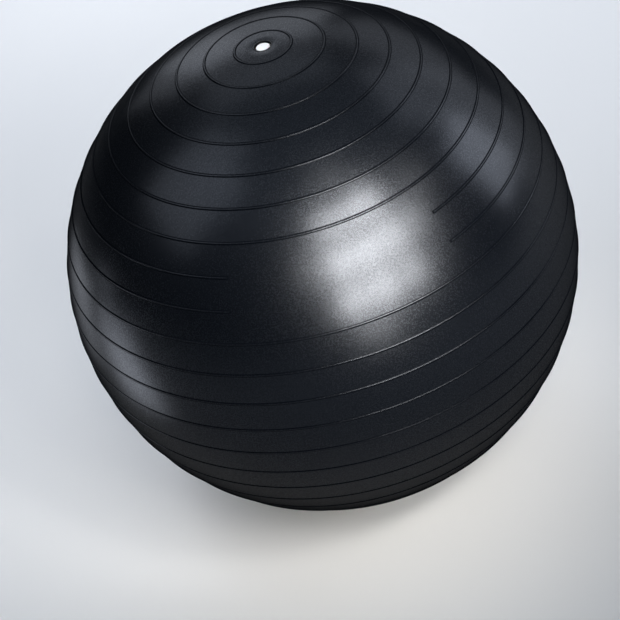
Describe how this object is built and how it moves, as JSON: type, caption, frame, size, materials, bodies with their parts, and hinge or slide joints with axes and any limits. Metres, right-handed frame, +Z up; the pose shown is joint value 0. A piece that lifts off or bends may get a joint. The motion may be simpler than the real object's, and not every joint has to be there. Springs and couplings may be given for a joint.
{
  "type": "exercise ball",
  "caption": "Large ribbed inflatable exercise ball with a push-in valve plug at its pole and a flat patch where it rests on the floor.",
  "frame": {"origin": "middle of the flat patch where the ball rests on the floor", "axes": "+Z up, along the valve axis; -Y is the front, through the middle of the bare patch between the interrupted ribs"},
  "size_m": [0.6516, 0.6516, 0.6477],
  "materials": {
    "skin": "satin black soft PVC with a fine moulded grain",
    "valve": "smooth satin black soft PVC",
    "plug": "glossy white polyethylene"
  },
  "bodies": {
    "ball": {"ball_shell": "skin", "valve_seat": "valve"},
    "plug": {"valve_plug": "plug"}
  },
  "joints": [
    {"name": "plug_pull", "type": "slide", "parent": "ball", "child": "plug", "axis": [0, 0, 1], "range_m": [0, 0.03]}
  ]
}
